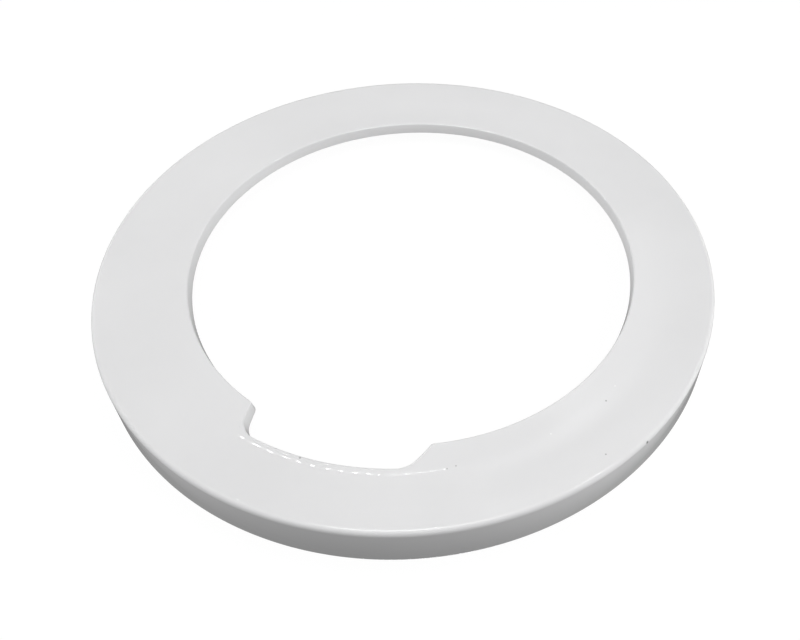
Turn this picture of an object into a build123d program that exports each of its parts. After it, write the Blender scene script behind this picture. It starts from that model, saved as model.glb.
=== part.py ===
"""Outer door frame of a front-loading washing machine.

One injection-moulded ring. The front face has two bands: a nearly level one round the porthole
and a wider one that climbs to the rounded outer edge. A drafted skirt closes the outside, a short
leaning lip frames the porthole, and a finger notch for the door handle is let into its edge.
The back is open, with screw bosses, radial ribs and one round rib under the face.

Frame: origin on the ring's axis, in the plane of the back rim. +Z points out of the front face,
and -Y is the side of the handle notch. Sizes are in millimetres, angles in degrees.
"""

from build123d import *

import os
from math import asin, atan2, cos, hypot, radians, sin, tan

# Front face and skirt
opening_diameter = 338.0      # porthole, across the front edge of its lip
inner_band_width = 21.0       # from the porthole's edge to the soft crease
outer_band_width = 40.0       # from the soft crease to the rim
frame_depth = 30.5            # from the back rim to the highest line of the outer edge
crease_height = 24.0          # height of the soft crease above the back rim
opening_edge_height = 22.8    # height of the porthole's front edge above the back rim
crease_blend_radius = 150.0
outer_edge_radius = 2.8
inner_edge_radius = 0.5       # least rounding on the hollow side of the outer edge
skirt_draft = 1.5
wall = 2.6

# Lip round the porthole and the handle notch
lip_depth = 9.2
lip_lean = 9.0
front_edge_break = 0.8        # broken edge where the face meets the lip
notch_angle = -98.6           # direction of the notch's middle, seen from the front
notch_right_depth = 16.2      # from the porthole's edge to each end of the notch's bottom
notch_left_depth = 19.0
notch_right_mouth = 20.7      # from the notch's middle to the end of each flank
notch_right_root = 15.8
notch_left_mouth = 20.7
notch_left_root = 17.5
notch_mouth_radius = 4.0
notch_root_radius = 14.0

# Screw bosses and ribs on the back
screw_count = 8
screw_circle_inset = 20.0     # from the rim in to the circle of screws
boss_diameter = 9.0
boss_recess = 6.0             # from the back rim up to the ends of the bosses
pilot_diameter = 3.4          # for self-tapping screws
pilot_depth = 14.0
rib_thickness = 1.6
rib_recess = 14.0             # from the back rim up to the edges of the ribs
ribs_per_screw = 2
round_rib_clearance = 2.5     # from the notch's wall to the round rib

# Sizes that follow from these
opening_radius = opening_diameter / 2
crease_radius = opening_radius + inner_band_width
rim_radius = crease_radius + outer_band_width
lip_back_height = opening_edge_height - lip_depth
lip_shift = lip_depth * tan(radians(lip_lean))
opening_back_radius = opening_radius - lip_shift
right_root_radius = opening_back_radius + notch_right_depth
left_root_radius = opening_back_radius + notch_left_depth
notch_reach = opening_radius + max(notch_right_depth, notch_left_depth)
round_rib_radius = notch_reach + wall + round_rib_clearance
screw_circle_radius = rim_radius - screw_circle_inset
rib_count = screw_count * ribs_per_screw
blank_radius = opening_back_radius - wall
above_face = frame_depth + wall

# Slope at which the outer band runs tangent into the rounded outer edge
draft = radians(skirt_draft)
edge_centre_z = frame_depth - outer_edge_radius
edge_centre_r = rim_radius - edge_centre_z * tan(draft) - outer_edge_radius / cos(draft)
edge_run = edge_centre_r - crease_radius
edge_rise = edge_centre_z - crease_height
band_slope = atan2(edge_rise, edge_run) + asin(outer_edge_radius / hypot(edge_run, edge_rise))
inner_slope = atan2(crease_height - opening_edge_height, inner_band_width)

# Soft crease: the ends and the middle of its round blend
half_turn = (band_slope - inner_slope) / 2
blend_reach = crease_blend_radius * tan(half_turn)
blend_lift = crease_blend_radius * (1 / cos(half_turn) - 1)
blend_start = (crease_radius + blend_reach * cos(band_slope),
               crease_height + blend_reach * sin(band_slope))
blend_middle = (crease_radius - blend_lift * sin(inner_slope + half_turn),
                crease_height + blend_lift * cos(inner_slope + half_turn))
blend_end = (crease_radius - blend_reach * cos(inner_slope),
             crease_height - blend_reach * sin(inner_slope))


def front_line(inset):
    """Points (r, z) of the front surface, moved into the wall by inset, from the rim inwards."""
    edge_radius = max(outer_edge_radius - inset, inner_edge_radius)
    centre_depth = inset + edge_radius
    centre_run = outer_band_width - centre_depth / cos(draft)
    centre_rise = centre_run * tan(band_slope) - centre_depth / cos(band_slope)
    centre_z = (crease_height + centre_rise) / (1 + tan(draft) * tan(band_slope))
    centre_r = crease_radius + centre_run - centre_z * tan(draft)
    band_drop = inset / cos(band_slope)
    inner_drop = inset / cos(inner_slope)
    crease_shift = (band_drop - inner_drop) / (tan(band_slope) - tan(inner_slope))
    crease_z = crease_height - inner_drop + crease_shift * tan(inner_slope)
    rim = (rim_radius - inset / cos(draft), 0)
    edge_start = (centre_r + edge_radius * cos(draft), centre_z + edge_radius * sin(draft))
    edge_end = (centre_r - edge_radius * sin(band_slope), centre_z + edge_radius * cos(band_slope))
    crease = (crease_radius + crease_shift, crease_z)
    inner_end = (blank_radius, crease_z - (crease[0] - blank_radius) * tan(inner_slope))
    return rim, edge_start, edge_end, crease, inner_end


def on_circle(radius, angle):
    """Point on a circle about the ring's axis."""
    return (radius * cos(radians(angle)), radius * sin(radians(angle)))


# Space below the middle of the wall, which the ribs, bosses and lip grow up into
with BuildPart() as under_face:
    with BuildSketch(Plane.XZ):
        with BuildLine():
            Polyline(*front_line(wall / 2), (blank_radius, 0), close=True)
        make_face()
    revolve(axis=Axis.Z)

# Outline of the porthole with its handle notch, at the back of the lip
right_mouth = on_circle(opening_back_radius, notch_angle + notch_right_mouth)
right_root = on_circle(right_root_radius, notch_angle + notch_right_root)
bottom_middle = on_circle((right_root_radius + left_root_radius) / 2,
                          notch_angle + (notch_right_root - notch_left_root) / 2)
left_root = on_circle(left_root_radius, notch_angle - notch_left_root)
left_mouth = on_circle(opening_back_radius, notch_angle - notch_left_mouth)

with BuildSketch(Plane.XY.offset(lip_back_height)) as opening:
    Circle(opening_back_radius)
    with BuildLine():
        Polyline(left_mouth, (0, 0), right_mouth, right_root)
        ThreePointArc(right_root, bottom_middle, left_root)
        Line(left_root, left_mouth)
    make_face()
    mouths = [opening.vertices().sort_by_distance((*p, lip_back_height))[0]
              for p in (right_mouth, left_mouth)]
    fillet(mouths, notch_mouth_radius)
    roots = [opening.vertices().sort_by_distance((*p, lip_back_height))[0]
             for p in (right_root, left_root)]
    fillet(roots, notch_root_radius)

# Lip: a wall round that outline, leaning outwards to the front, and then straight up to the face
with BuildPart() as lip:
    with BuildSketch(Plane.XY.offset(lip_back_height)):
        add(opening.sketch.face())
        offset(amount=wall)
    extrude(amount=lip_depth, taper=-lip_lean)
    extrude(lip.faces().sort_by(Axis.Z)[-1], amount=frame_depth - opening_edge_height)
    add(under_face.part, mode=Mode.INTERSECT)

# Ribs and bosses under the face
with BuildPart() as back_ribs:
    rib_start = round_rib_radius
    rib_end = rim_radius
    with BuildSketch(Plane.XY.offset(rib_recess)):
        Circle(round_rib_radius + rib_thickness)
        Circle(round_rib_radius, mode=Mode.SUBTRACT)
        with PolarLocations((rib_start + rib_end) / 2, rib_count, start_angle=notch_angle):
            Rectangle(rib_end - rib_start, rib_thickness)
    extrude(amount=above_face)
    with BuildSketch(Plane.XY.offset(boss_recess)):
        with PolarLocations(screw_circle_radius, screw_count, start_angle=notch_angle):
            Circle(boss_diameter / 2)
    extrude(amount=above_face)
    add(under_face.part, mode=Mode.INTERSECT)

# The moulded ring
with BuildPart() as outer_door_frame:
    with BuildSketch(Plane.XZ):
        with BuildLine():
            rim, edge_start, edge_end, crease, inner_end = front_line(0)
            skirt = Line(rim, edge_start)
            TangentArc(edge_start, edge_end, tangent=skirt % 1)
            Spline(edge_end, blend_start, blend_middle, blend_end, inner_end, tangents=(
                (-cos(band_slope), -sin(band_slope)), (-cos(inner_slope), -sin(inner_slope))))
            Polyline(inner_end, *reversed(front_line(wall)), rim)
        make_face()
    revolve(axis=Axis.Z)
    add(lip.part)
    add(back_ribs.part)
    with BuildSketch(Plane.XY.offset(lip_back_height)):
        add(opening.sketch.face())
    with BuildSketch(Plane.XY.offset(frame_depth)):
        add(opening.sketch.face().moved(Location((0, 0, frame_depth - lip_back_height))))
        offset(amount=(frame_depth - lip_back_height) * tan(radians(lip_lean)))
    loft(ruled=True, mode=Mode.SUBTRACT)
    front_edges = outer_door_frame.edges(Select.LAST).filter_by_position(
        Axis.Z, opening_edge_height - lip_depth / 4, frame_depth)
    chamfer(front_edges, front_edge_break)
    with BuildSketch(Plane.XY.offset(boss_recess)):
        with PolarLocations(screw_circle_radius, screw_count, start_angle=notch_angle):
            Circle(pilot_diameter / 2)
    extrude(amount=pilot_depth, mode=Mode.SUBTRACT)

outer_door_frame.part.label = "outer_door_frame"

os.makedirs("parts", exist_ok=True)
export_step(outer_door_frame.part, "parts/outer_door_frame.step")
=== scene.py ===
# %% [markdown]
# # A washing machine's outer door frame
#
# The object is one glossy white moulding: a ring that frames the porthole of a front-loading
# washing machine. It lies on the edge of its skirt, front face up. The face is a shallow dish,
# a finger notch is let into the porthole's edge, and the back is open, with ribs and screw bosses.
#
# The imported CAD model gives the place and the size of everything, so it is loaded first.

from math import pi, radians, tan

import bmesh
import bpy
import numpy as np
from mathutils import Matrix, Vector


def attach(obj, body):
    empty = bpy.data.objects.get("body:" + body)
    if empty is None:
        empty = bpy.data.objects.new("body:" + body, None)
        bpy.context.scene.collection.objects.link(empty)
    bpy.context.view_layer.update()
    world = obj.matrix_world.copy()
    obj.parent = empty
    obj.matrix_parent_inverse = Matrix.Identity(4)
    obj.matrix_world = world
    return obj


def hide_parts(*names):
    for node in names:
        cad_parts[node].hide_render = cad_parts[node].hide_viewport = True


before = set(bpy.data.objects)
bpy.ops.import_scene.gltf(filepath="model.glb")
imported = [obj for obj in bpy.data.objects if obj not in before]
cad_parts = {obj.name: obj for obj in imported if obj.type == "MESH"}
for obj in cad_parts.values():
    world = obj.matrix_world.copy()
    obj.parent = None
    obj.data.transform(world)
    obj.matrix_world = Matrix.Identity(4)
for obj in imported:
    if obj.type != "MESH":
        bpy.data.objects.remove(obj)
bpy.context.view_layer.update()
MM = 0.001

# %% [markdown]
# ## Camera
#
# The photograph looks down on the ring at 44 degrees, from close by, and the picture is slightly
# turned and cut out of a larger one. A camera could be turned by hand until the ring fits. Here its
# place was solved from the ring's own circles: the rim, the crest and the porthole. The small lens
# shift stands for the cut, and the turn about the line of sight for the tilted horizon.

# %% Camera
PICTURE_WIDTH = 800    # in pixels, and so are the next three
FOCAL_LENGTH = 729.14
CUT_ACROSS = -120.17
CUT_DOWN = -80.01
SENSOR = 36.0          # in millimetres
PITCH = 44.05          # degrees below the horizon
ROLL = 5.115           # degrees about the line of sight
camera_data = bpy.data.cameras.new("photo_camera")
camera_data.sensor_width = SENSOR
camera_data.lens = SENSOR * FOCAL_LENGTH / PICTURE_WIDTH
camera_data.shift_x = CUT_ACROSS / PICTURE_WIDTH
camera_data.shift_y = CUT_DOWN / PICTURE_WIDTH
camera_data.clip_start = 0.01
camera = bpy.data.objects.new("photo_camera", camera_data)
look_down = Matrix.Rotation(radians(90 - PITCH), 4, "X")
turn = Matrix.Rotation(radians(ROLL), 4, "Z")
camera.matrix_world = Matrix.Translation((0.07855, -0.39918, 0.43017)) @ look_down @ turn
bpy.context.scene.collection.objects.link(camera)
bpy.context.scene.camera = camera
print("camera at", [round(c, 3) for c in camera.location], "lens", round(camera_data.lens, 2), "mm")

# %% [markdown]
# ## The wall in section
#
# A moulded ring has the same wall almost all the way round, so its section is drawn once and spun.
# The section could be a long list of points. It is only ten corners instead, and bevel rounds the six
# that the mould rounds. The face that held the corners together is then dropped, because only its
# edge is spun. Corners are (distance from the axis, height), in millimetres, and follow the CAD
# model's sizes.

# %% Section of the moulded wall
OPENING = 169.0        # radius of the porthole at its front edge
CREASE = 190.0         # radius of the soft crease between the two bands of the face
RIM = 230.0            # radius of the skirt's lower edge
EDGE_HEIGHT = 22.8     # of the porthole's edge above the floor
CREASE_HEIGHT = 24.0
LIP_BACK = 13.6        # height of the lip's lower edge
WALL = 2.6
INNER_RISE = (CREASE_HEIGHT - EDGE_HEIGHT) / (CREASE - OPENING)
OUTER_RISE = 0.1794    # slope of the outer band, up to the rounded outer edge
LIP_LEAN = tan(radians(9.0))
DRAFT = tan(radians(1.5))


def meet(r, z, rise, foot):
    """Where a line of that rise through (r, z) meets the drafted skirt that starts at foot."""
    height = (z + (foot - r) * rise) / (1 + DRAFT * rise)
    return foot - height * DRAFT, height


under = WALL * 1.009   # the wall measured straight down: a little more, because the face slopes
corners = {
    "rim_outside": (RIM, 0),
    "outer_edge": meet(CREASE, CREASE_HEIGHT, OUTER_RISE, RIM),
    "crease": (CREASE, CREASE_HEIGHT),
    "porthole_edge": (OPENING, EDGE_HEIGHT),
    "lip_back_inside": (OPENING - (EDGE_HEIGHT - LIP_BACK) * LIP_LEAN, LIP_BACK),
    "lip_back_outside": (OPENING - (EDGE_HEIGHT - LIP_BACK) * LIP_LEAN + WALL, LIP_BACK),
    "lip_root": (171.2, 20.32),
    "under_crease": (190.3, 21.41),
    "inner_corner": meet(CREASE, CREASE_HEIGHT - under, OUTER_RISE, RIM - WALL),
    "rim_inside": (RIM - WALL, 0),
}
roundings = {"outer_edge": (3.33, 12), "porthole_edge": (0.95, 5), "lip_back_inside": (0.5, 3),
             "lip_root": (0.7, 3), "inner_corner": (0.7, 3), "rim_outside": (0.4, 2)}

ring = bmesh.new()
section = {name: ring.verts.new((r * MM, 0, z * MM)) for name, (r, z) in corners.items()}
ring.faces.new(section.values())
for name, (reach, segments) in roundings.items():
    bmesh.ops.bevel(ring, geom=[section[name]], offset=reach * MM, offset_type="OFFSET",
                    affect="VERTICES", segments=segments, profile=0.5, material=-1)
bmesh.ops.delete(ring, geom=ring.faces[:], context="FACES_ONLY")
print("section:", len(ring.verts), "points")

# %% [markdown]
# ## Rows on the face
#
# The notch will push the face aside later, and for that the face needs rows of points. They could be
# all alike, but two things call for care. Smooth shading bends the light across the whole row beside
# a rounding, so that row is made narrow: edge_split sets a point close to each rounding. And rows
# behind the outer band never show, so they are twice as wide, which saves triangles.

# %% Rows
ROW = 2.5              # distance between rows on the face
FIRM = 0.8             # width of the row beside each rounding of the face
LONG = 15              # a stretch across the ring that is wider than this gets rows
BAND_START = 200       # a stretch that reaches beyond this radius belongs to the outer band
TOP_SIDE = 29          # height that only the top side of that band reaches
for stretch in section["crease"].link_edges[:]:
    rounding = stretch.other_vert(section["crease"])
    bmesh.utils.edge_split(stretch, rounding, FIRM * MM / stretch.calc_length())
for stretch in ring.edges[:]:
    a, b = (v.co for v in stretch.verts)
    width = abs(a.x - b.x) / MM
    if width > LONG:
        hidden = max(a.x, b.x) > BAND_START * MM and max(a.z, b.z) < TOP_SIDE * MM
        cuts = round(width / ROW / (2 if hidden else 1))
        bmesh.ops.subdivide_edges(ring, edges=[stretch], cuts=cuts)
print("section with rows:", len(ring.verts), "points,", len(ring.edges), "edges")

# %% [markdown]
# ## Spin the section
#
# Spin turns the open line of points about the ring's axis, one column of faces a step. Gloss shows
# every facet, so there are many columns: 1200 make steps of about one millimetre. A full turn in one
# spin, with use_merge to close it, gets slow with so many steps. So one sector is spun, a second spin
# with use_duplicate sets its copies round the axis, and remove_doubles welds them together.

# %% Spin
COLUMNS = 1200
SECTORS = 30
axis = dict(cent=(0, 0, 0), axis=(0, 0, 1), dvec=(0, 0, 0))
bmesh.ops.spin(ring, geom=ring.verts[:] + ring.edges[:], angle=2 * pi / SECTORS,
               steps=COLUMNS // SECTORS, use_merge=False, use_duplicate=False, **axis)
bmesh.ops.spin(ring, geom=ring.verts[:] + ring.edges[:] + ring.faces[:],
               angle=2 * pi * (SECTORS - 1) / SECTORS, steps=SECTORS - 1,
               use_merge=False, use_duplicate=True, **axis)
bmesh.ops.remove_doubles(ring, verts=ring.verts, dist=0.002 * MM)
bmesh.ops.recalc_face_normals(ring, faces=ring.faces)
print("ring:", len(ring.verts), "points,", len(ring.faces), "faces,",
      sum(not e.is_manifold for e in ring.edges), "open edges")

# %% [markdown]
# ## The handle notch, drawn flat
#
# Fingers reach in behind the ring where its edge steps back. The notch is not even: its right end
# slopes gently, its left end is steep, and its floor runs deeper at the left. It is easiest to draw
# unrolled, with the distance round the porthole across the sheet and the depth up the sheet. Four
# corners are enough, and bevel rounds them: tightly where the notch starts, generously at its bottom.
# The tail only closes the sheet, and is left out again when the line is read off.

# %% Notch outline
NOTCH_ANGLE = radians(-98.6)
NOTCH_ZONE = radians(45)   # half of the turn in which columns may move
LEFT_DEPTH = 19.0
RIGHT_DEPTH = 16.2
UNROLL = OPENING + (LEFT_DEPTH + RIGHT_DEPTH) / 4
flat_corners = {"left_end": (-NOTCH_ZONE, 0), "left_mouth": (radians(-20.7), 0),
                "left_root": (radians(-17.5), LEFT_DEPTH),
                "right_root": (radians(15.8), RIGHT_DEPTH),
                "right_mouth": (radians(20.7), 0), "right_end": (NOTCH_ZONE, 0), "tail": (0, -60)}
notch_roundings = {"left_mouth": 1.6, "right_mouth": 1.1, "left_root": 9.6, "right_root": 6.4}
sheet = bmesh.new()
notch = {name: sheet.verts.new((turned * UNROLL, depth, 0))
         for name, (turned, depth) in flat_corners.items()}
sheet.faces.new(notch.values())
for name, reach in notch_roundings.items():
    bmesh.ops.bevel(sheet, geom=[notch[name]], offset=reach, offset_type="OFFSET",
                    affect="VERTICES", segments=12, profile=0.5, material=-1)
line = np.array(sorted((v.co.x / UNROLL, v.co.y) for v in sheet.verts if v.co.y > -1))
sheet.free()
print("notch outline:", len(line), "points,", round(line[:, 1].max(), 1), "mm deep")

# %% [markdown]
# ## Fit the ring to the notch
#
# The notch could be cut with a Boolean, but its rim then needs a fresh bevel and the gloss shows
# each cut. Pushing the existing rows keeps one smooth skin. Columns near the notch are shared out
# along its outline, closer together where it turns. Rows on the lip follow the outline at their own
# distance, and rows of the face are drawn together between the outline and a circle that stays put.

# %% Columns along the outline
HOLD = 203.0           # radius of the row that does not move
CORNER_PULL = 7.0      # extra columns where the outline turns, in millimetres a radian

column_angle = np.arange(COLUMNS) * 2 * pi / COLUMNS
from_notch = (column_angle - NOTCH_ANGLE + pi) % (2 * pi) - pi
fine = np.linspace(-NOTCH_ZONE, NOTCH_ZONE, 4001)
fine_radius = OPENING + np.interp(fine, line[:, 0], line[:, 1])
fine_xy = np.stack([np.cos(fine), np.sin(fine)], 1) * fine_radius[:, None]
step = np.diff(fine_xy, axis=0)
length = np.hypot(*step.T)
heading = np.unwrap(np.arctan2(step[:, 1], step[:, 0]))
turning = np.abs(np.gradient(heading))
share = np.concatenate([[0], np.cumsum(length + CORNER_PULL * turning)])
share = (share / share[-1] * 2 - 1) * NOTCH_ZONE

inside = np.abs(from_notch) < NOTCH_ZONE
outline_angle = np.where(inside, np.interp(from_notch, share, fine), from_notch)
outline_radius = OPENING + np.interp(outline_angle, line[:, 0], line[:, 1], left=0, right=0)
outline_angle = outline_angle + NOTCH_ANGLE
outline = np.stack([np.cos(outline_angle), np.sin(outline_angle)], 1) * outline_radius[:, None]
along = np.roll(outline, -1, 0) - np.roll(outline, 1, 0)
outward = np.stack([along[:, 1], -along[:, 0]], 1) / np.hypot(*along.T)[:, None]
print("outline:", round(outline_radius.min(), 1), "to", round(outline_radius.max(), 1),
      "mm from the axis")

# %% [markdown]
# ## Move the rows
#
# The face is a dish with a soft crease, so a point that moves outwards also climbs. The height of
# the dish is a straight line on each band, with a round blend of 150 mm between them. Moving all
# points at once with arrays is quick, and every number is a size of the ring.

# %% Shape the ring
BLEND = 10.0           # half the width of the soft crease
TURN_IN = 1.0          # rows nearer the outline than this keep their distance from it
TURN_OUT = 7.0         # rows further from it than this are shared out evenly
LIP_TOP = 20.0         # from this height up, points climb fully with the face


def band_height(r):
    """Height of the two straight bands at a distance from the axis."""
    return CREASE_HEIGHT + np.where(r < CREASE, INNER_RISE, OUTER_RISE) * (r - CREASE)


def face_height(r):
    """Height of the face with its crease blended."""
    across = np.clip((BLEND - np.abs(r - CREASE)) / (2 * BLEND), 0, 1)
    return band_height(r) + (OUTER_RISE - INNER_RISE) * BLEND * across ** 2


points = np.array([v.co for v in ring.verts]) / MM
radius = np.hypot(points[:, 0], points[:, 1])
angle = np.arctan2(points[:, 1], points[:, 0])
column = np.rint(angle / (2 * pi) * COLUMNS).astype(int) % COLUMNS
distance = (radius - OPENING)[:, None]
spread = np.clip(distance / (HOLD - OPENING), 0, 1)
held = np.stack([np.cos(angle), np.sin(angle)], 1) * HOLD
straight = outline[column] + outward[column] * distance
fanned = outline[column] + (held - outline[column]) * spread
ease = np.clip((distance - TURN_IN) / (TURN_OUT - TURN_IN), 0, 1)
ease = ease * ease * (3 - 2 * ease)
near = (radius < HOLD)[:, None]
moved = np.where(near, straight * (1 - ease) + fanned * ease, points[:, :2])
climb = face_height(np.hypot(moved[:, 0], moved[:, 1])) - band_height(radius)
climb = climb * np.clip((points[:, 2] - LIP_BACK) / (LIP_TOP - LIP_BACK), 0, 1) * near[:, 0]
for vert, (x, y), z in zip(ring.verts, moved, points[:, 2] + climb):
    vert.co = Vector((x, y, z)) * MM
bmesh.ops.recalc_face_normals(ring, faces=ring.faces)
print("rows moved by up to", round(np.abs(moved - points[:, :2]).max(), 1), "mm")

# %% [markdown]
# ## Ribs and screw bosses behind
#
# The back is hollow to keep the wall even, and ribs stiffen it. One radial rib and one boss are
# modelled at the notch's angle, and spin with use_duplicate sets the copies round the ring. The round
# rib is a four-point section, spun. Every top ends inside the wall, so the joint with it is clean.

# %% Ribs
RIB = 1.6
RIB_BACK = 14.0        # height of the ribs' lower edge
ROUND_RIB = 193.9      # middle of the round rib
SCREWS = 8
SCREW_CIRCLE = 210.0
to_notch = Matrix.Rotation(NOTCH_ANGLE, 4, "Z")


def wall_middle(r):
    """Height of the middle of the outer band's wall."""
    return CREASE_HEIGHT + OUTER_RISE * (r - CREASE) - under / 2


def copy_round(mesh, count):
    """Turns a shape to the notch and repeats it round the ring."""
    bmesh.ops.transform(mesh, matrix=to_notch, verts=mesh.verts)
    bmesh.ops.spin(mesh, geom=mesh.verts[:] + mesh.edges[:] + mesh.faces[:],
                   angle=2 * pi * (count - 1) / count, steps=count - 1,
                   use_merge=False, use_duplicate=True, **axis)
    bmesh.ops.recalc_face_normals(mesh, faces=mesh.faces)


ribs = bmesh.new()
rib_end = 228.0        # inside the skirt's wall
rib_end_top = 28.2     # its height there, inside the rounded edge
rib_bend = 225.0       # where its top stops following the face and turns down to that height
rib_points = ((ROUND_RIB, RIB_BACK), (rib_end, RIB_BACK), (rib_end, rib_end_top),
              (rib_bend, wall_middle(rib_bend)), (ROUND_RIB, wall_middle(ROUND_RIB)))
rib_side = ribs.faces.new([ribs.verts.new((r * MM, -RIB / 2 * MM, z * MM)) for r, z in rib_points])
grown = bmesh.ops.extrude_face_region(ribs, geom=[rib_side], use_keep_orig=True)
bmesh.ops.translate(ribs, vec=(0, RIB * MM, 0),
                    verts=[g for g in grown["geom"] if isinstance(g, bmesh.types.BMVert)])
copy_round(ribs, SCREWS * 2)

round_rib = bmesh.new()
top = wall_middle(ROUND_RIB)
rib_loop = [round_rib.verts.new(((ROUND_RIB + side * RIB / 2) * MM, 0, z * MM))
            for side, z in ((-1, RIB_BACK), (1, RIB_BACK), (1, top), (-1, top))]
for a, b in zip(rib_loop, rib_loop[1:] + rib_loop[:1]):
    round_rib.edges.new((a, b))
bmesh.ops.spin(round_rib, geom=round_rib.verts[:] + round_rib.edges[:], angle=2 * pi, steps=360,
               use_merge=True, use_duplicate=False, **axis)
bmesh.ops.recalc_face_normals(round_rib, faces=round_rib.faces)
print("ribs:", len(ribs.faces), "faces, round rib:", len(round_rib.faces), "faces")

# %% [markdown]
# ## Bosses and their pilot holes
#
# A boss is a short post for a self-tapping screw. It starts as a cylinder that is too long, and
# bisect_plane trims it along the sloping wall. The pilot hole is a second, thinner cylinder that will
# be subtracted, because the ribs run through the bosses and the hole has to go through both.

# %% Bosses
BOSS = 9.0             # diameter
BOSS_BACK = 6.0        # height of its end
BOSS_TRIM = 40.0       # height before it is trimmed
PILOT = 3.4            # diameter
PILOT_DEPTH = 14.0
PILOT_SPARE = 2        # the cutter starts this far outside the boss, so that the cut is clean


def post(diameter, low, high, segments):
    """A cylinder on the screw circle, from one height to another."""
    mesh = bmesh.new()
    place = Matrix.Translation((SCREW_CIRCLE * MM, 0, (low + high) / 2 * MM))
    bmesh.ops.create_cone(mesh, cap_ends=True, segments=segments, radius1=diameter / 2 * MM,
                          radius2=diameter / 2 * MM, depth=(high - low) * MM, matrix=place)
    return mesh


bosses = post(BOSS, BOSS_BACK, BOSS_TRIM, segments=64)
cut = bmesh.ops.bisect_plane(bosses, geom=bosses.verts[:] + bosses.edges[:] + bosses.faces[:],
                             plane_co=(SCREW_CIRCLE * MM, 0, wall_middle(SCREW_CIRCLE) * MM),
                             plane_no=(-OUTER_RISE, 0, 1), clear_outer=True)
rim_edges = [g for g in cut["geom_cut"] if isinstance(g, bmesh.types.BMEdge)]
bmesh.ops.contextual_create(bosses, geom=rim_edges)
foot = [e for e in bosses.edges if all(v.co.z < (BOSS_BACK + 0.1) * MM for v in e.verts)]
bmesh.ops.bevel(bosses, geom=foot, offset=0.4 * MM, offset_type="OFFSET", affect="EDGES",
                segments=2, profile=0.5, material=-1)
copy_round(bosses, SCREWS)
pilots = post(PILOT, BOSS_BACK - PILOT_SPARE, BOSS_BACK + PILOT_DEPTH, segments=40)
copy_round(pilots, SCREWS)
print("bosses:", len(bosses.faces), "faces, pilot holes:", SCREWS)

# %% [markdown]
# ## One moulding
#
# The real part comes out of the mould in one piece, so the shapes are joined into one closed skin.
# Boolean modifiers do this, and the result is read back as a plain mesh. The small shapes are joined
# first, so that the large ring is worked on only once.

# %% Join the shapes


def as_object(mesh, name):
    """Turns a bmesh into an object of the scene."""
    data = bpy.data.meshes.new(name)
    mesh.to_mesh(data)
    mesh.free()
    made = bpy.data.objects.new(name, data)
    bpy.context.scene.collection.objects.link(made)
    return made


def combine(base, tool, operation):
    """Joins or cuts with another object, which is then removed."""
    modifier = base.modifiers.new("combine", "BOOLEAN")
    modifier.operation = operation
    modifier.solver = "MANIFOLD"
    modifier.object = tool
    joined = base.evaluated_get(bpy.context.evaluated_depsgraph_get())
    result = bpy.data.meshes.new_from_object(joined)
    base.modifiers.clear()
    base.data = result
    bpy.data.objects.remove(tool)
    print(operation.lower(), base.name, "now", len(result.polygons), "faces")


backing = as_object(round_rib, "backing")
combine(backing, as_object(ribs, "ribs"), "UNION")
combine(backing, as_object(bosses, "bosses"), "UNION")
combine(backing, as_object(pilots, "pilots"), "DIFFERENCE")
moulding = as_object(ring, "door_frame_moulding")
combine(moulding, backing, "UNION")
moulding.data.name = "door_frame_moulding"
for face in moulding.data.polygons:
    face.use_smooth = True
moulding.data.set_sharp_from_angle(angle=radians(32))

# %% [markdown]
# ## Glossy white plastic
#
# The finish is polished white ABS. A single white would look like paper, so three quiet things are
# added: a slow drift of tone and gloss, as mould flow leaves, a very fine waviness in the surface
# that softens reflections, and a few specks of dust, two painted glints and one small nick, placed
# by the object's own coordinates. Noise textures read Object coordinates in metres, so their scale
# is in waves a metre.

# %% Plastic
plastic = bpy.data.materials.new("gloss_white_plastic")
plastic.use_nodes = True
nodes, links = plastic.node_tree.nodes, plastic.node_tree.links
shader = nodes["Principled BSDF"]
place = nodes.new("ShaderNodeTexCoord")


def noise(scale, detail):
    """Noise over the object, in waves a metre."""
    texture = nodes.new("ShaderNodeTexNoise")
    texture.inputs["Scale"].default_value = scale
    texture.inputs["Detail"].default_value = detail
    links.new(place.outputs["Object"], texture.inputs["Vector"])
    return texture.outputs["Fac"]


def ramp(source, low, high, start, end):
    """Maps a value from one range to another."""
    node = nodes.new("ShaderNodeMapRange")
    for name, value in (("From Min", low), ("From Max", high), ("To Min", start), ("To Max", end)):
        node.inputs[name].default_value = value
    links.new(source, node.inputs["Value"])
    return node.outputs["Result"]


def blend(factor, first, second):
    """Mixes two colours."""
    node = nodes.new("ShaderNodeMix")
    node.data_type = "RGBA"
    links.new(factor, node.inputs["Factor"])
    for socket, value in ((node.inputs[6], first), (node.inputs[7], second)):
        if isinstance(value, tuple):
            socket.default_value = value
        else:
            links.new(value, socket)
    return node.outputs[2]


def speck(centre, size, colour, under_colour):
    """A small mark round one point of the skin, given in millimetres."""
    away = nodes.new("ShaderNodeVectorMath")
    away.operation = "DISTANCE"
    away.inputs[1].default_value = [c * MM for c in centre]
    links.new(place.outputs["Object"], away.inputs[0])
    mask = ramp(away.outputs["Value"], 0.4 * size * MM, size * MM, 1, 0)
    return blend(mask, under_colour, colour)


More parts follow.
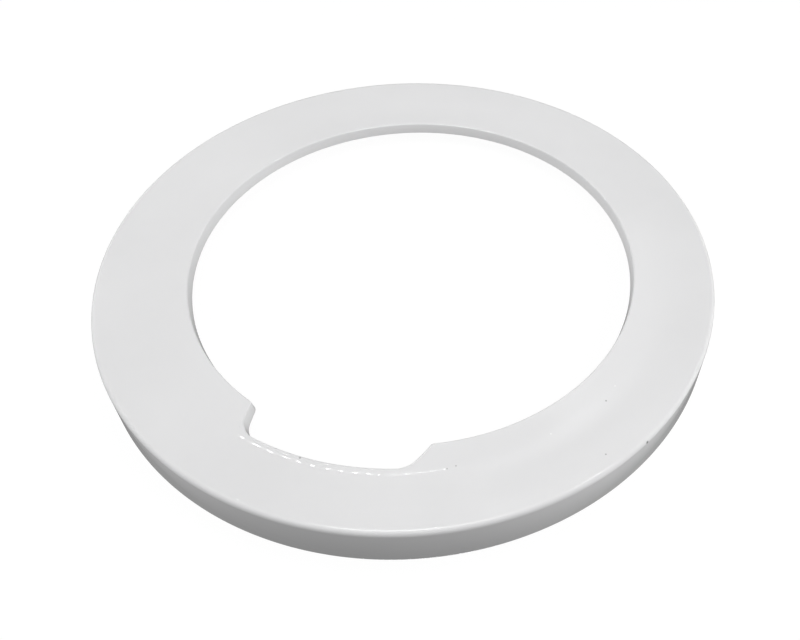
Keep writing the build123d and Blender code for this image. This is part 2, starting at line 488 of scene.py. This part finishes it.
WHITE = (0.80, 0.80, 0.805, 1)
COOL_WHITE = (0.83, 0.83, 0.835, 1)
DUST = (0.42, 0.42, 0.42, 1)
# this near-white is a painted highlight: small glints put into the colour on the crease
PAINTED_GLINT = (0.98, 0.98, 0.98, 1)
NICK = (0.22, 0.22, 0.22, 1)
colour = blend(ramp(noise(9, 3), 0.35, 0.65, 0, 1), WHITE, COOL_WHITE)
# the grey specks are dust; the two near-white ones are painted glints on the crease, where the gloss
# shows highlights
dust_and_glint_specks = ((144.3, -124.0, 0.8, DUST), (142.5, -165.9, 0.7, DUST), (-41.4, -183.5, 0.9, DUST),
               (108.8, -152.0, 0.7, PAINTED_GLINT), (150.7, -111.4, 0.7, PAINTED_GLINT), (52.1, -179.6, 0.6, DUST),
               (47.0, -182.1, 0.6, DUST))
for x, y, size, tone in dust_and_glint_specks:
    colour = speck((x, y, face_height(np.hypot(x, y))), size, tone, colour)
colour = speck((168.7, -154.7, 28.6), 1.3, NICK, colour)
links.new(colour, shader.inputs["Base Color"])
links.new(ramp(noise(14, 4), 0.3, 0.7, 0.015, 0.035), shader.inputs["Roughness"])
bump = nodes.new("ShaderNodeBump")
bump.inputs["Strength"].default_value = 0.003
bump.inputs["Distance"].default_value = 0.0004
links.new(noise(260, 2), bump.inputs["Height"])
links.new(bump.outputs["Normal"], shader.inputs["Normal"])
shader.inputs["IOR"].default_value = 1.5
moulding.data.materials.clear()
moulding.data.materials.append(plastic)
print("plastic:", len(nodes), "nodes")

# %% [markdown]
# ## Floor
#
# The photograph is a cut-out on white. A plain white floor would be grey wherever the lamps don't
# reach, so this one glows by itself, and a little matt paint added to the glow leaves a trace of shade
# round the ring. It is left out of the reflections and of the bounced light, so that only the lamps
# and the room light the ring. Seen from below it is clear, so that the back can be looked at.

# %% Floor
FLOOR = 60.0           # from its middle to each side, in metres
floor_mesh = bmesh.new()
bmesh.ops.create_grid(floor_mesh, x_segments=8, y_segments=8, size=FLOOR)
floor = as_object(floor_mesh, "floor")
floor.location.z = -0.0002
floor_paint = bpy.data.materials.new("floor_white")
floor_paint.use_nodes = True
floor_nodes, floor_links = floor_paint.node_tree.nodes, floor_paint.node_tree.links
floor_nodes.clear()
glow = floor_nodes.new("ShaderNodeEmission")
glow.inputs["Strength"].default_value = 0.95
matt = floor_nodes.new("ShaderNodeBsdfDiffuse")
matt.inputs["Color"].default_value = (0.07, 0.07, 0.07, 1)
both = floor_nodes.new("ShaderNodeAddShader")
clear = floor_nodes.new("ShaderNodeBsdfTransparent")
side = floor_nodes.new("ShaderNodeNewGeometry")
pick = floor_nodes.new("ShaderNodeMixShader")
out = floor_nodes.new("ShaderNodeOutputMaterial")
floor_links.new(glow.outputs[0], both.inputs[0])
floor_links.new(matt.outputs[0], both.inputs[1])
floor_links.new(side.outputs["Backfacing"], pick.inputs[0])
floor_links.new(both.outputs[0], pick.inputs[1])
floor_links.new(clear.outputs[0], pick.inputs[2])
floor_links.new(pick.outputs[0], out.inputs["Surface"])
floor.data.materials.append(floor_paint)
floor.visible_diffuse = False
floor.visible_glossy = False
floor.visible_shadow = False
print("floor:", len(floor.data.polygons), "faces,", len(floor_nodes), "nodes")

# %% [markdown]
# ## Lamps
#
# The ring is lit as in a studio, by soft area lamps. Small hard lamps would give sharp shadows, and
# strong ones show as white patches in the gloss. So a lamp is described by its radiance, the
# brightness that a mirror of it would show, and its power follows from its size. One lamp hangs low
# over the ring and a large one high above. Four at the sides light the walls and the skirt. They are
# hidden from the reflections, so that no view shows white patches in their place. One below lights
# the back.

# %% Lamps


def softbox(name, place, aim, width, height, radiance):
    """A rectangular lamp that faces a point; its brightness is what a mirror of it would show."""
    data = bpy.data.lights.new(name, "AREA")
    data.shape = "RECTANGLE"
    data.size, data.size_y = width, height
    data.energy = radiance * pi * width * height
    lamp = bpy.data.objects.new(name, data)
    facing = (Vector(aim) - Vector(place)).to_track_quat("-Z", "Y").to_matrix().to_4x4()
    lamp.matrix_world = Matrix.Translation(place) @ facing
    lamp.visible_camera = False
    bpy.context.scene.collection.objects.link(lamp)
    return lamp


def side_fill(name, place, width, height, radiance):
    """A lamp that lights the ring from one side and does not show in its gloss."""
    softbox(name, place, (0, 0, 0.02), width, height, radiance).visible_glossy = False


softbox("over_the_ring", (0.0, 0.0, 0.5), (0, 0, 0), 0.24, 0.24, 2.67)
softbox("overhead", (0.0, -0.1, 1.3), (0, -0.1, 0), 1.4, 1.4, 0.46)
side_fill("right_side", (1.3, -0.1, 0.75), 1.4, 1.2, 2.4)
side_fill("right_low", (1.0, -0.25, 0.35), 0.9, 0.6, 1.13)
side_fill("left_side", (-1.3, 0.0, 0.75), 1.4, 1.2, 0.99)
side_fill("left_low", (-1.0, -0.25, 0.35), 0.9, 0.6, 2.5)
softbox("under", (0.0, 0.0, -0.9), (0, 0, 0), 0.3, 0.3, 9.0)

# %% [markdown]
# ## Lamps that the gloss mirrors
#
# A row of dashes runs along the soft crease, and a thin bright line along the outer edge. They look
# like reflections of ceiling lamps. They could be painted on, but would then stay put when the view
# turns, so lamps are hung for them: rays from the camera were mirrored at the skin to find the places.
# These lamps only show in the gloss, so the balance of the other lamps stays as it is.

# %% Mirrored lamps


def gleam(name, place, width, height, radiance):
    """A lamp that only shows in the gloss and adds no light of its own."""
    lamp = softbox(name, place, (0, -0.2, 0.03), width, height, radiance)
    lamp.visible_diffuse = False


CEILING = 1.13         # height of most of these lamps, in metres
LED_COUNT = 16
LED_START = (-0.443, 0.787)
LED_RUN = (0.324, -0.040)  # from the first lamp of the row to the last
LED_SIZE = (0.006, 0.005)
LED_RADIANCE = 50.0
gleam("crease_strip_wide", (0.03, 0.86, 1.14), 0.36, 0.20, 0.35)
gleam("crease_strip", (0.03, 0.85, CEILING), 0.26, 0.10, 0.45)
for led in range(LED_COUNT):
    along_row = led / (LED_COUNT - 1)
    hung_at = (LED_START[0] + LED_RUN[0] * along_row, LED_START[1] + LED_RUN[1] * along_row, CEILING)
    gleam(f"crease_led_{led:02d}", hung_at, *LED_SIZE, LED_RADIANCE)
gleam("edge_bar", (-0.165, 0.262, CEILING), 0.29, 0.15, 5.0)
gleam("edge_end", (0.28, 0.408, CEILING), 0.07, 0.15, 24.0)

# %% [markdown]
# ## Surroundings
#
# The room around the ring does two jobs. For the light it is a dim, even grey, which keeps the shaded
# skirt from going black. For the camera it is plain white, as the photograph's backdrop is. Light Path
# tells the two apart. The Standard view keeps white at white, where a filmic one would grey it.

# %% Surroundings
world = bpy.data.worlds.new("studio")
bpy.context.scene.world = world
world.use_nodes = True
sky_nodes, sky_links = world.node_tree.nodes, world.node_tree.links
dim = sky_nodes["Background"]
dim.inputs["Color"].default_value = (1, 1, 1, 1)
dim.inputs["Strength"].default_value = 0.227
backdrop = sky_nodes.new("ShaderNodeBackground")
backdrop.inputs["Strength"].default_value = 1.0
backdrop.inputs["Color"].default_value = (1, 1, 1, 1)
seen = sky_nodes.new("ShaderNodeLightPath")
swap = sky_nodes.new("ShaderNodeMixShader")
sky_links.new(seen.outputs["Is Camera Ray"], swap.inputs[0])
sky_links.new(dim.outputs[0], swap.inputs[1])
sky_links.new(backdrop.outputs[0], swap.inputs[2])
sky_links.new(swap.outputs[0], sky_nodes["World Output"].inputs["Surface"])
bpy.context.scene.view_settings.view_transform = "Standard"
print("surroundings:", round(dim.inputs["Strength"].default_value, 3), "of white")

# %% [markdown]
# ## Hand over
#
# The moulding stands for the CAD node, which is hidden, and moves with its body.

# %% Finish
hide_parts("outer_door_frame")
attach(moulding, "root")
